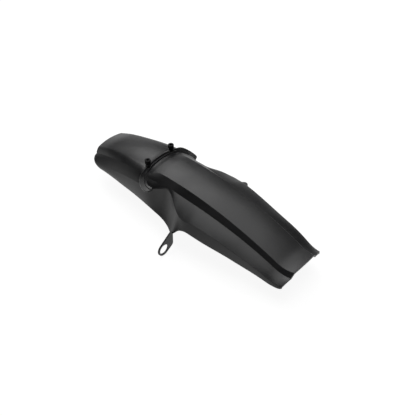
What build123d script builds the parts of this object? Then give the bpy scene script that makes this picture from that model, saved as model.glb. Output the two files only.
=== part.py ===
"""Moulded front mudguard for a bicycle suspension fork, with the two screws that hold it to the fork arch.

Millimetres. X runs back towards the tail, Y is across the wheel, Z is up. The guard is drawn about its
wheel arc and then set down so that the origin lies midway between the two arch screws, on the tops of
their bosses.
"""

import os
from math import copysign, cos, radians, sin, sqrt

from build123d import *

# Places along the guard
nose_reach = 87.4
tail_reach = 218.8
front_x = -45.0
collar_front_x = 6.0
hollow_x = 46.0
ear_x = 75.6
rear_x = 150.0

# Wheel arc that the top follows, and the shape of the two ends
wheel_arc_radius = 400.0
arc_top_x = 47.0
arc_top_z = 4.0
tail_kick_length = 21.8
tail_kick_lift = 8.9
tail_end_bow = 4.6
tail_corner_radius = 3.5
tail_trim_length = 40.0
tail_trim_flare = 3.0
nose_end_bow = 7.0
nose_cut_length = 25.4
nose_cut_top = 3.3
nose_cut_shoulder = 11.3
nose_cut_set_back = 1.4
wall = 2.2
shoulder_reach = 0.5

# Half widths of the raised plateau, the side panels and the hem
plateau_at_nose = 18.3
plateau_at_shoulder = 20.6
plateau_at_tail = 17.2
panel_at_nose = 33.0
panel_at_collar = 37.4
panel_at_hollow = 29.6
panel_at_ear = 46.3
panel_at_tail = 33.4
hem_at_nose = 34.6
hem_at_collar = 38.0
hem_at_ear = 55.2
hem_at_tail = 34.8

# Collar lip that stands round the front of the rear deck, a squared half ellipse seen from above
collar_half_width = 36.4
collar_half_length = 16.7
collar_squareness = 2.5
lip_height_top = 3.8
lip_height_side = 6.8
lip_thickness = 2.2
lip_root = 1.6
bead_height = 1.5
bead_width = 2.0
bead_width_at_hook = 0.9
hook_turn = 101.0

# Arch screws and their bosses
screw_x = 4.3
screw_seat_z = 2.0
screw_spacing = 38.1
screw_radius = 2.0
screw_length = 16.0
screw_tip_chamfer = 0.5
screw_neck_radius = 1.75
screw_neck_length = 1.6
screw_head_radius = 3.5
screw_head_height = 4.0
screw_head_round = 0.5
screw_socket_flats = 3.0
screw_socket_depth = 2.0
screw_clearance = 0.15
boss_wall = 0.85
boss_length = 12.0

# Ears that reach out to the backs of the fork legs
ear_spacing = 137.0
ear_drop = 51.9
ear_hole_radius = 6.3
ear_rim = 2.1
ear_thickness = 1.7
ear_neck_half_width = 2.6
ear_web_radius = 5.4
ear_web_inset = 9.0
ear_web_rise = 1.7
ear_neck_overhang = 1.2


def smooth(keys):
    """Curve through (x, value) pairs that never overshoots between them."""
    xs = [key[0] for key in keys]
    vs = [key[1] for key in keys]
    steps = [xs[i + 1] - xs[i] for i in range(len(xs) - 1)]
    slopes = [(vs[i + 1] - vs[i]) / steps[i] for i in range(len(steps))]
    tangents = [slopes[0]]
    for i in range(1, len(slopes)):
        if slopes[i - 1] * slopes[i] <= 0:
            tangents.append(0.0)
        else:
            before = 2 * steps[i] + steps[i - 1]
            after = steps[i] + 2 * steps[i - 1]
            tangents.append((before + after) / (before / slopes[i - 1] + after / slopes[i]))
    tangents.append(slopes[-1])

    def value(x):
        i = 0
        while i < len(steps) - 1 and x > xs[i + 1]:
            i += 1
        t = (x - xs[i]) / steps[i]
        t = min(max(t, 0.0), 1.0)
        rise = t * t * (3 - 2 * t)
        start = t * (1 - t) * (1 - t)
        end = t * t * (t - 1)
        return vs[i] + (vs[i + 1] - vs[i]) * rise + steps[i] * (tangents[i] * start + tangents[i + 1] * end)

    return value


def arc_height(x):
    """Height of the wheel arc that the top of the guard follows, with the upturned tail."""
    run = x - arc_top_x
    height = arc_top_z - (wheel_arc_radius - sqrt(wheel_arc_radius ** 2 - run ** 2))
    past = max(0.0, x - (tail_reach - tail_kick_length)) / tail_kick_length
    return height + tail_kick_lift * past * past


nose = -nose_reach
tail = tail_reach

# Long lines of the shell: distance below the wheel arc and half width, keyed by distance along the guard
crown_depth = smooth([
    (nose, 1.2), (front_x - 15, -1.9), (front_x + 15, -2.3), (collar_front_x - 12, -1.1),
    (collar_front_x - 3, 0.2), (collar_front_x + 1, 3.2), (collar_front_x + 10, 1.6), (hollow_x - 15, 0.3),
    (tail, 0.0),
])
edge_depth = smooth([
    (nose, 3.0), (front_x - 15, 0.7), (front_x + 20, 1.0), (collar_front_x - 9, 2.0),
    (collar_front_x - 3, 2.6), (collar_front_x + 2.5, 5.6), (collar_front_x + 12, 4.2),
    (hollow_x - 15, 2.6), (tail - 60, 2.2), (tail, 1.3),
])
edge_half = smooth([
    (nose, plateau_at_nose), (front_x + 20, plateau_at_nose + 1), (hollow_x - 15, plateau_at_shoulder),
    (tail - 22, plateau_at_tail + 1.8), (tail, plateau_at_tail),
])
foot_depth = smooth([
    (nose, 9.4), (front_x, 7.0), (collar_front_x - 18, 6.2), (collar_front_x - 4, 6.4),
    (collar_front_x + 7, 9.0), (hollow_x - 16, 9.6), (hollow_x + 2, 8.4), (ear_x - 14, 9.6),
    (ear_x + 4, 10.0), (ear_x + 36, 9.6), (tail - 32, 7.0), (tail, 6.2),
])
foot_half = smooth([
    (nose, 24.0), (front_x, 27.0), (collar_front_x - 14, 29.4), (collar_front_x + 6, 30.0),
    (hollow_x - 12, 28.6), (ear_x + 36, 25.6), (tail, 22.0),
])
panel_depth = smooth([
    (nose, 13.6), (front_x, 18.0), (collar_front_x - 6, 17.0), (collar_front_x + 14, 17.0),
    (hollow_x - 12, 14.0), (hollow_x, 11.0), (hollow_x + 8, 12.0), (ear_x - 10, 15.2), (ear_x, 18.6),
    (ear_x + 8, 19.5), (ear_x + 20, 17.3), (rear_x, 14.7), (tail - 32, 11.2), (tail, 10.6),
])
panel_half = smooth([
    (nose, panel_at_nose), (front_x, panel_at_nose + 1.8), (collar_front_x + 16, panel_at_collar),
    (hollow_x - 12, panel_at_hollow + 3), (hollow_x, panel_at_hollow),
    (hollow_x + 8, panel_at_hollow + 2.6), (ear_x - 10, panel_at_ear - 6.9),
    (ear_x, panel_at_ear - 1.9), (ear_x + 8, panel_at_ear),
    (ear_x + 20, panel_at_ear - 1), (rear_x, panel_at_ear - 6), (tail - 32, panel_at_tail + 3.8),
    (tail, panel_at_tail),
])
hem_depth = smooth([
    (nose, 19.0), (front_x - 20, 23.5), (collar_front_x - 19, 36.8), (collar_front_x + 10, 40.4),
    (hollow_x - 8, 42.6), (hollow_x + 9, 42.7), (ear_x - 10, 42.8), (ear_x - 4, 42.9), (ear_x, 40.8),
    (ear_x + 3.4, 36.8), (ear_x + 9, 32.4), (ear_x + 17, 29.6), (ear_x + 36, 29.4), (rear_x, 26.4),
    (tail - 30, 18.8), (tail - 14, 15.4), (tail - 6, 14.0), (tail, 11.8),
])
hem_half = smooth([
    (nose, hem_at_nose), (collar_front_x - 19, hem_at_collar - 1), (collar_front_x + 10, hem_at_collar + 2),
    (hollow_x - 3, hem_at_collar + 5.2), (hollow_x + 9, hem_at_ear - 9.2), (ear_x - 10, hem_at_ear - 5),
    (ear_x - 4, hem_at_ear - 1.6), (ear_x, hem_at_ear), (ear_x + 3.4, hem_at_ear - 2.4),
    (ear_x + 9, hem_at_ear - 4.4), (ear_x + 17, hem_at_ear - 5.2), (ear_x + 36, hem_at_ear - 7.2),
    (rear_x, hem_at_tail + 7.2), (tail - 30, hem_at_tail + 2.7), (tail, hem_at_tail),
])
# How far each band bows out between its two lines
step_bow = smooth([
    (nose, 0.6), (front_x, 1.0), (collar_front_x - 16, 1.6), (collar_front_x + 14, 0.8),
    (hollow_x - 6, 0.0), (tail, 0.0),
])
panel_bow = smooth([
    (nose, 1.0), (front_x, 0.6), (collar_front_x - 16, 0.4), (collar_front_x + 14, 0.8),
    (hollow_x - 10, 0.2), (ear_x - 15, 0.2), (ear_x + 4, 0.6), (tail, 0.6),
])
skirt_bow = smooth([
    (nose, 0.6), (front_x, 1.0), (collar_front_x + 10, 0.8), (hollow_x - 12, -1.8), (ear_x - 15, -2.2),
    (ear_x - 4, -1.8), (ear_x + 14, 0.2), (tail, 0.2),
])

# Share of a rounded shoulder in the step, which has a crease behind the collar and none ahead of it
shoulder_softness = smooth([
    (nose, 0.8), (front_x, 0.7), (collar_front_x - 16, 0.7), (collar_front_x, 0.35), (hollow_x - 16, 0.0),
    (tail, 0.0),
])

section_count = 61
stations = [nose + (tail - nose) * i / (section_count - 1) for i in range(section_count)]


def half_outline(x):
    """Outer half section at x as (y, z) from the crown to the hem."""
    top = arc_height(x)
    return [
        (0.0, top - crown_depth(x)),
        (edge_half(x), top - edge_depth(x)),
        (foot_half(x), top - foot_depth(x)),
        (panel_half(x), top - panel_depth(x)),
        (hem_half(x), top - hem_depth(x)),
    ]


def inward(points, distance):
    """The open line moved inwards by a distance, its corners mitred."""
    normals = []
    for (y0, z0), (y1, z1) in zip(points, points[1:]):
        length = sqrt((y1 - y0) ** 2 + (z1 - z0) ** 2)
        normals.append(((z1 - z0) / length, -(y1 - y0) / length))
    moved = [(points[0][0], points[0][1] - distance)]
    for before, after, (y, z) in zip(normals, normals[1:], points[1:]):
        share = 1 + before[0] * after[0] + before[1] * after[1]
        turn = [(before[i] + after[i]) / share for i in (0, 1)]
        moved.append((y + distance * turn[0], z + distance * turn[1]))
    moved.append((points[-1][0] + distance * normals[-1][0], points[-1][1] + distance * normals[-1][1]))
    return moved


def bowed(start, end, bow):
    """Three control points of a shallow curve from start to end, bowed to the outside."""
    run = (end[0] - start[0], end[1] - start[1])
    length = sqrt(run[0] ** 2 + run[1] ** 2)
    middle_y = (start[0] + end[0]) / 2 - 2 * bow * run[1] / length
    middle_z = (start[1] + end[1]) / 2 + 2 * bow * run[0] / length
    return [start, (middle_y, middle_z), end]


def shoulder(line, x):
    """Control points of the step, with a rounded shoulder where it is soft and a crease elsewhere."""
    crown_z = line[0][1]
    edge_y, edge_z = line[1]
    start, (middle_y, middle_z), end = bowed(line[1], line[2], step_bow(x))
    round_y = edge_y + shoulder_reach * (end[0] - edge_y)
    round_z = edge_z - 2 * (crown_z - edge_z) / edge_y * (round_y - edge_y)
    share = shoulder_softness(x)
    return [start, (middle_y + share * (round_y - middle_y), middle_z + share * (round_z - middle_z)), end]


def half_bands(line, x):
    """Step, side panel and skirt of one half section."""
    return [
        shoulder(line, x),
        bowed(line[2], line[3], panel_bow(x)),
        bowed(line[3], line[4], skirt_bow(x)),
    ]


def all_bands(line, x):
    """Bands of a whole section from the left hem over the top to the right hem."""
    right = half_bands(line, x)
    left = [[(-y, z) for y, z in reversed(points)] for points in reversed(right)]
    edge_y, edge_z = line[1]
    plateau = [(-edge_y, edge_z), (0.0, 2 * line[0][1] - edge_z), (edge_y, edge_z)]
    return left + [plateau] + right


def shell_section(x):
    """Closed outline of the thin wall at x."""
    outer = all_bands(half_outline(x), x)
    inner = [list(reversed(points)) for points in reversed(all_bands(inward(half_outline(x), wall), x))]
    loop = outer + [[outer[-1][-1], inner[0][0]]] + inner + [[inner[-1][-1], outer[0][0]]]
    edges = []
    for points in loop:
        places = [(x, y, z) for y, z in points]
        edges.append(Edge.make_line(*places) if len(places) == 2 else Edge.make_bezier(*places))
    return Wire(edges)


def surface_height(x, y):
    """Height of the outer surface over the point (x, y)."""
    line = half_outline(x)
    edge_y, edge_z = line[1]
    if abs(y) <= edge_y:
        return line[0][1] - (line[0][1] - edge_z) * (y / edge_y) ** 2
    for start, middle, end in half_bands(line, x):
        if abs(y) <= end[0]:
            low, high = 0.0, 1.0
            for _ in range(40):
                t = (low + high) / 2
                at = (1 - t) ** 2 * start[0] + 2 * t * (1 - t) * middle[0] + t * t * end[0]
                low, high = (t, high) if at < abs(y) else (low, t)
            return (1 - t) ** 2 * start[1] + 2 * t * (1 - t) * middle[1] + t * t * end[1]
    return line[4][1]


# Collar lip: leans from upright over the middle to flat at its two hooked ends
lip_lean = smooth([
    (0, 12), (33, 36), (55, 66), (hook_turn - 26, 86), (hook_turn - 11, 101), (hook_turn, 104),
])
lip_height = smooth([
    (0, lip_height_top), (33, lip_height_top), (60, lip_height_side), (hook_turn - 15, lip_height_side),
    (hook_turn - 7, lip_height_side * 0.75), (hook_turn, lip_height_side * 0.2),
])
bead_breadth = smooth([
    (0, bead_width), (45, bead_width), (hook_turn - 20, bead_width_at_hook),
    (hook_turn, bead_width_at_hook),
])


def collar_point(angle):
    """Foot of the lip at an angle round the half ellipse, on the shell's outer surface."""
    c = cos(radians(angle))
    s = sin(radians(angle))
    power = 2 / collar_squareness
    x = collar_front_x + collar_half_length * (1 - copysign(abs(c) ** power, c))
    y = collar_half_width * copysign(abs(s) ** power, s)
    return Vector(x, y, surface_height(x, y))


def lip_frame(angle):
    """Foot, standing direction and thickness direction of the lip at an angle."""
    foot = collar_point(angle)
    along = (collar_point(angle + 0.5) - collar_point(angle - 0.5)).normalized()
    out = Vector(-along.Y, along.X, 0).normalized()
    lean = radians(lip_lean(abs(angle)))
    stand = Vector(0, 0, 1) * cos(lean) + out * sin(lean)
    across = stand.cross(along).normalized()
    return foot, across.cross(along).normalized() * -1, across


def lip_section(angle, low, high, back, front):
    """Four-sided section of a rib on the collar line."""
    foot, stand, across = lip_frame(angle)
    corners = [(low, back), (high, back), (high, front), (low, front)]
    return Wire.make_polygon([foot + stand * h + across * w for h, w in corners], close=True)


lip_steps = 30
lip_sections = []
bead_sections = []
for step in range(lip_steps + 1):
    angle = hook_turn * (2 * step / lip_steps - 1)
    height = lip_height(abs(angle))
    low_height = min(bead_height, height)
    breadth = bead_breadth(abs(angle))
    lip_sections.append(lip_section(angle, -lip_root, height, 0, lip_thickness))
    bead_sections.append(lip_section(angle, -lip_root, low_height, -breadth, lip_thickness / 2))
lip = Solid.make_loft(lip_sections)
bead = Solid.make_loft(bead_sections)

# Screw bosses through the collar
screw_places = [(screw_x, side * screw_spacing / 2) for side in (-1, 1)]
screw_hole_radius = screw_radius + screw_clearance
boss_radius = screw_hole_radius + boss_wall
boss_bottom = screw_seat_z - boss_length
bosses = []
holes = []
for x, y in screw_places:
    bosses.append(Pos(x, y, screw_seat_z - boss_length / 2) * Cylinder(boss_radius, boss_length))
    holes.append(Pos(x, y, screw_seat_z) * Cylinder(screw_hole_radius, 4 * boss_length))

# Ears: a flat eyelet across the wheel's path, narrowing to a neck that springs from the flank
ears = []
ear_holes = []
neck_y = hem_half(ear_x) + ear_neck_overhang
neck_z = arc_height(ear_x) - hem_depth(ear_x) + ear_neck_overhang
for side in (-1, 1):
    ear_plane = Plane(origin=(ear_x, 0, 0), x_dir=(0, 1, 0), z_dir=(1, 0, 0))
    with BuildSketch(ear_plane) as eyelet:
        with Locations((side * ear_spacing / 2, -ear_drop)):
            Circle(ear_hole_radius + ear_rim)
        with Locations((side * (ear_spacing / 2 - ear_web_inset), -ear_drop + ear_web_rise)):
            Circle(ear_web_radius)
        with Locations((side * neck_y, neck_z)):
            Circle(ear_neck_half_width)
        make_hull()
    ears.append(extrude(eyelet.sketch, ear_thickness / 2, both=True))
    eye_place = Pos(ear_x, side * ear_spacing / 2, -ear_drop) * Rot(0, 90, 0)
    ear_holes.append(eye_place * Cylinder(ear_hole_radius, 4 * ear_thickness))

# The nose is cut back below its side ridge, and both ends are bowed seen from above
cut_end_x = nose + nose_cut_length
cut_end_z = arc_height(cut_end_x) - hem_depth(cut_end_x) - nose_cut_set_back
cut_start_x = nose + nose_cut_set_back
cut_start_z = arc_height(nose) - nose_cut_top
with BuildSketch(Plane.XZ) as nose_cut:
    with BuildLine():
        shoulder_z = arc_height(nose) - nose_cut_shoulder
        Bezier((cut_start_x, cut_start_z), (cut_start_x + 2, shoulder_z), (cut_end_x, cut_end_z))
        Polyline((cut_end_x, cut_end_z), (cut_end_x, cut_end_z - nose_cut_length),
                 (nose - nose_cut_length, cut_end_z - nose_cut_length),
                 (nose - nose_cut_length, cut_start_z), (cut_start_x, cut_start_z))
    make_face()
nose_trim = extrude(nose_cut.sketch, hem_at_ear, both=True)
cutter_span = 2 * hem_at_ear
nose_half = hem_half(nose)
nose_bow_radius = (nose_half ** 2 + nose_end_bow ** 2) / (2 * nose_end_bow)
nose_block = Pos(nose, 0, 0) * Box(nose_cut_length, cutter_span, cutter_span)
nose_end = nose_block - Pos(nose + nose_bow_radius, 0, 0) * Cylinder(nose_bow_radius, cutter_span)
tail_side_x = tail - tail_trim_length
tail_side_y = hem_half(tail_side_x) + tail_trim_flare
tail_corner_x = tail - tail_end_bow
tail_corner_y = hem_half(tail) + 0.2
with BuildSketch() as tail_plan:
    with BuildLine():
        Polyline((tail_side_x, -tail_side_y), (tail_corner_x, -tail_corner_y))
        ThreePointArc((tail_corner_x, -tail_corner_y), (tail, 0), (tail_corner_x, tail_corner_y))
        Polyline((tail_corner_x, tail_corner_y), (tail_side_x, tail_side_y), (tail_side_x, -tail_side_y))
    make_face()
    fillet(tail_plan.vertices().group_by(Axis.X)[-1], tail_corner_radius)
tail_block = Pos(tail, 0, 0) * Box(2 * tail_trim_length, cutter_span, cutter_span)
tail_end = tail_block - extrude(tail_plan.sketch, hem_at_ear, both=True)

shell = Part() + Solid.make_loft([shell_section(x) for x in stations])
guard = shell - nose_trim - nose_end - tail_end
guard = guard + lip + bead + bosses + ears - holes - ear_holes

# Socket-head screws in the bosses, with a slim neck left bare under the head for the arch's bracket
head_z = screw_seat_z + screw_neck_length
tip_z = head_z - screw_length
screws = []
for x, y in screw_places:
    thread = Pos(x, y, (screw_seat_z + tip_z) / 2) * Cylinder(screw_radius, screw_seat_z - tip_z)
    thread = chamfer(thread.edges().group_by(Axis.Z)[0], screw_tip_chamfer)
    neck = Pos(x, y, screw_seat_z + screw_neck_length / 2) * Cylinder(screw_neck_radius, screw_neck_length)
    head = Pos(x, y, head_z + screw_head_height / 2) * Cylinder(screw_head_radius, screw_head_height)
    head = fillet(head.edges().group_by(Axis.Z)[-1], screw_head_round)
    with BuildSketch(Plane(origin=(x, y, head_z + screw_head_height))) as socket:
        RegularPolygon(screw_socket_flats / 2, 6, major_radius=False)
    screws.append(thread + neck + head - extrude(socket.sketch, -screw_socket_depth))

# Everything is set down about the arch screws
origin_shift = Pos(-screw_x, 0, -screw_seat_z)
os.makedirs("parts", exist_ok=True)
export_step(origin_shift * guard, "parts/guard_shell.step")
export_step(Compound(children=[origin_shift * screw for screw in screws]), "parts/arch_screws.step")
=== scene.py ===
import math

import bpy
from mathutils import Matrix, Vector


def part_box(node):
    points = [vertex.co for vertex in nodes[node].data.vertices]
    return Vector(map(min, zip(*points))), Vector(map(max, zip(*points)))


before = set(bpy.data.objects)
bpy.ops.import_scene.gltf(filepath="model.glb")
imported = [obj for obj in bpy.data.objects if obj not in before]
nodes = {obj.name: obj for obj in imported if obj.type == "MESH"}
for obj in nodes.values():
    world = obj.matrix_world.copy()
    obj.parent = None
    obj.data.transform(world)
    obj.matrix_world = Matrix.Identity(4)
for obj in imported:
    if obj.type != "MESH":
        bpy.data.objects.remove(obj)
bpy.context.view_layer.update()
scene = bpy.context.scene

# Camera: its place and reach in metres, its angles in degrees, its lens and film in millimetres
eye = Vector((0.4887, -0.4509, 0.5429))
camera_reach = 50.0
camera_azimuth = 42.45
camera_elevation = 43.43
camera_roll = -0.24
camera_lens = 63.3
camera_film = 36.0

# Middle of the guard, in metres: the floor is centred on it and the lamps face it
middle = Vector((0.06, 0.0, 0.0))

# Floor, in metres: it lies just under the lowest edge of the guard, and its paint is faintly mottled
floor_gap = 0.0005
floor_size = 80.0
floor_dark = (0.14, 0.14, 0.14, 1.0)
floor_light = (0.15, 0.15, 0.15, 1.0)
floor_mottle_scale = 6.0
floor_mottle_detail = 2.0
floor_mottle_range = (0.2, 0.8)

# Background: floor and backdrop glow white; the backdrop fades out between two sines of elevation
white = (1.0, 1.0, 1.0, 1.0)
white_strength = 0.92
room_colour = (0.03, 0.03, 0.03, 1.0)
backdrop_fade = (0.0, 0.15)

# Square softboxes: place and side in metres, power in watts
softboxes = {
    "softbox_top": {"place": (-0.18, 0.34, 1.55), "side": 1.8, "power": 25.5},
    "softbox_left": {"place": (-0.99, 0.56, 1.07), "side": 0.9, "power": 7.2},
}

# Black moulded plastic: broad clouds of shade and gloss, a fine grain and rounded edges; lengths in metres
plastic_dark = (0.009, 0.009, 0.0095, 1.0)
plastic_light = (0.014, 0.014, 0.0148, 1.0)
plastic_cloud_scale = 26.0
plastic_cloud_detail = 3.0
plastic_cloud_range = (0.3, 0.7)
plastic_roughness = (0.35, 0.45)
plastic_refraction = 1.48
plastic_specular = 0.42
plastic_grain_scale = 1900.0
plastic_grain_detail = 2.0
plastic_grain_depth = 0.00005
plastic_grain_strength = 0.5
plastic_edge_round = 0.0005
plastic_edge_samples = 6

# Blackened steel of the two screws: small rubbed patches in shade, gloss and height; lengths in metres
steel_dark = (0.005, 0.005, 0.0056, 1.0)
steel_light = (0.011, 0.011, 0.012, 1.0)
steel_patch_scale = 420.0
steel_patch_detail = 4.0
steel_patch_depth = 0.00004
steel_patch_strength = 0.4
steel_shade_range = (0.35, 0.75)
steel_gloss_range = (0.3, 0.7)
steel_roughness = (0.50, 0.70)
steel_specular = 0.1


def new_material(name):
    """An empty node material, with its node tree and its output."""
    material = bpy.data.materials.new(name)
    material.use_nodes = True
    tree = material.node_tree
    tree.nodes.clear()
    output = tree.nodes.new("ShaderNodeOutputMaterial")
    return material, tree, output


def noise(tree, scale, detail):
    """Procedural noise in the object's own coordinates."""
    coordinates = tree.nodes.new("ShaderNodeTexCoord")
    texture = tree.nodes.new("ShaderNodeTexNoise")
    texture.inputs["Scale"].default_value = scale
    texture.inputs["Detail"].default_value = detail
    tree.links.new(coordinates.outputs["Object"], texture.inputs["Vector"])
    return texture.outputs["Fac"]


def ramp(tree, source, source_range, dark, light):
    """A colour that goes from dark to light over part of a number's range."""
    node = tree.nodes.new("ShaderNodeValToRGB")
    for stop, position, colour in zip(node.color_ramp.elements, source_range, (dark, light)):
        stop.position = position
        stop.color = colour
    tree.links.new(source, node.inputs["Fac"])
    return node.outputs["Color"]


def spread(tree, source, source_range, result_range):
    """A number moved from one range to another."""
    node = tree.nodes.new("ShaderNodeMapRange")
    ends = ("From Min", "From Max", "To Min", "To Max")
    for end, value in zip(ends, (*source_range, *result_range)):
        node.inputs[end].default_value = value
    tree.links.new(source, node.inputs["Value"])
    return node.outputs["Result"]


def combine(tree, operation, first, second):
    """One number made from two."""
    node = tree.nodes.new("ShaderNodeMath")
    node.operation = operation
    tree.links.new(first, node.inputs[0])
    tree.links.new(second, node.inputs[1])
    return node.outputs[0]


def show_both(tree, output, first, second):
    """Sends the sum of two shaders to the output."""
    both = tree.nodes.new("ShaderNodeAddShader")
    tree.links.new(first, both.inputs[0])
    tree.links.new(second, both.inputs[1])
    tree.links.new(both.outputs["Shader"], output.inputs["Surface"])


def relief(tree, height, depth, strength):
    """Small bumps that follow a number."""
    bump = tree.nodes.new("ShaderNodeBump")
    bump.inputs["Distance"].default_value = depth
    bump.inputs["Strength"].default_value = strength
    tree.links.new(height, bump.inputs["Height"])
    return bump


def surface(tree, output, shade, gloss, bump, specular):
    """A shader with a varied colour, gloss and relief, sent to the output."""
    shader = tree.nodes.new("ShaderNodeBsdfPrincipled")
    shader.inputs["Specular IOR Level"].default_value = specular
    tree.links.new(shade, shader.inputs["Base Color"])
    tree.links.new(gloss, shader.inputs["Roughness"])
    tree.links.new(bump.outputs["Normal"], shader.inputs["Normal"])
    tree.links.new(shader.outputs["BSDF"], output.inputs["Surface"])
    return shader


def moulded_plastic():
    """Black plastic with a fine spark-eroded grain, cloudy gloss and softly rounded edges."""
    material, tree, output = new_material("guard_black_plastic")
    cloud = noise(tree, plastic_cloud_scale, plastic_cloud_detail)
    shade = ramp(tree, cloud, plastic_cloud_range, plastic_dark, plastic_light)
    gloss = spread(tree, cloud, plastic_cloud_range, plastic_roughness)
    grain = noise(tree, plastic_grain_scale, plastic_grain_detail)
    bump = relief(tree, grain, plastic_grain_depth, plastic_grain_strength)
    edge = tree.nodes.new("ShaderNodeBevel")
    edge.samples = plastic_edge_samples
    edge.inputs["Radius"].default_value = plastic_edge_round
    tree.links.new(edge.outputs["Normal"], bump.inputs["Normal"])
    shader = surface(tree, output, shade, gloss, bump, plastic_specular)
    shader.inputs["IOR"].default_value = plastic_refraction
    return material


def blackened_steel():
    """Oxide-blackened screw steel with faint rubbed patches."""
    material, tree, output = new_material("screw_black_steel")
    patches = noise(tree, steel_patch_scale, steel_patch_detail)
    shade = ramp(tree, patches, steel_shade_range, steel_dark, steel_light)
    gloss = spread(tree, patches, steel_gloss_range, steel_roughness)
    bump = relief(tree, patches, steel_patch_depth, steel_patch_strength)
    surface(tree, output, shade, gloss, bump, steel_specular)
    return material


def dress(node, material):
    """Puts a material in every slot of a CAD node."""
    mesh = nodes[node].data
    if not mesh.materials:
        mesh.materials.append(material)
    for slot in range(len(mesh.materials)):
        mesh.materials[slot] = material


def white_glow(tree):
    """Strength of the white, for rays from the camera, off glossy surfaces and through clear ones."""
    path = tree.nodes.new("ShaderNodeLightPath")
    seen = path.outputs["Is Camera Ray"]
    for kind in ("Is Glossy Ray", "Is Transmission Ray"):
        seen = combine(tree, "MAXIMUM", seen, path.outputs[kind])
    return spread(tree, seen, (0.0, 1.0), (0.0, white_strength))


def white_floor():
    """Grey paint with a glow just short of white: the lamps add the rest, so the guard's shadow stays."""
    material, tree, output = new_material("floor_white")
    mottle = noise(tree, floor_mottle_scale, floor_mottle_detail)
    paint = tree.nodes.new("ShaderNodeBsdfDiffuse")
    tree.links.new(ramp(tree, mottle, floor_mottle_range, floor_dark, floor_light), paint.inputs["Color"])
    glow = tree.nodes.new("ShaderNodeEmission")
    tree.links.new(white_glow(tree), glow.inputs["Strength"])
    show_both(tree, output, paint.outputs["BSDF"], glow.outputs["Emission"])
    return material


def lay_floor():
    """A wide plane just under the guard."""
    lowest = min(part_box(name)[0].z for name in nodes)
    bpy.ops.mesh.primitive_plane_add(size=floor_size, location=(middle.x, middle.y, lowest - floor_gap))
    floor = bpy.context.object
    floor.name = "floor"
    floor.data.materials.append(white_floor())


def studio_world():
    """A dim grey room, with a white backdrop all round that fades upwards from the horizon."""
    world = bpy.data.worlds.new("studio")
    world.use_nodes = True
    tree = world.node_tree
    tree.nodes.clear()
    output = tree.nodes.new("ShaderNodeOutputWorld")
    room = tree.nodes.new("ShaderNodeBackground")
    room.inputs["Color"].default_value = room_colour
    direction = tree.nodes.new("ShaderNodeTexCoord")
    parts = tree.nodes.new("ShaderNodeSeparateXYZ")
    tree.links.new(direction.outputs["Generated"], parts.inputs["Vector"])
    fade = spread(tree, parts.outputs["Z"], backdrop_fade, (1.0, 0.0))
    backdrop = tree.nodes.new("ShaderNodeBackground")
    backdrop.inputs["Color"].default_value = white
    tree.links.new(combine(tree, "MULTIPLY", fade, white_glow(tree)), backdrop.inputs["Strength"])
    show_both(tree, output, room.outputs["Background"], backdrop.outputs["Background"])
    scene.world = world


def softbox(name, place, side, power):
    """A square soft lamp that faces the middle of the guard."""
    lamp = bpy.data.lights.new(name, "AREA")
    lamp.shape = "SQUARE"
    lamp.size = side
    lamp.energy = power
    holder = bpy.data.objects.new(name, lamp)
    holder.location = place
    holder.rotation_euler = (middle - Vector(place)).to_track_quat("-Z", "Y").to_euler()
    scene.collection.objects.link(holder)


def set_camera():
    """Camera at the photograph's place, with its slight roll."""
    azimuth = math.radians(camera_azimuth)
    elevation = math.radians(camera_elevation)
    roll = math.radians(camera_roll)
    level = math.cos(elevation)
    back = Vector((math.sin(azimuth) * level, -math.cos(azimuth) * level, math.sin(elevation)))
    right = Vector((0.0, 0.0, 1.0)).cross(back).normalized()
    up = back.cross(right)
    rolled_right = right * math.cos(roll) + up * math.sin(roll)
    rolled_up = up * math.cos(roll) - right * math.sin(roll)
    camera = bpy.data.cameras.new("camera")
    camera.lens = camera_lens
    camera.sensor_width = camera_film
    camera.clip_end = camera_reach
    holder = bpy.data.objects.new("camera", camera)
    turn = Matrix((rolled_right, rolled_up, back)).transposed()
    holder.matrix_world = Matrix.Translation(eye) @ turn.to_4x4()
    scene.collection.objects.link(holder)
    scene.camera = holder


dress("guard_shell", moulded_plastic())
dress("arch_screws", blackened_steel())
lay_floor()
studio_world()
for name, lamp in softboxes.items():
    softbox(name, **lamp)
set_camera()
scene.view_settings.view_transform = "Standard"
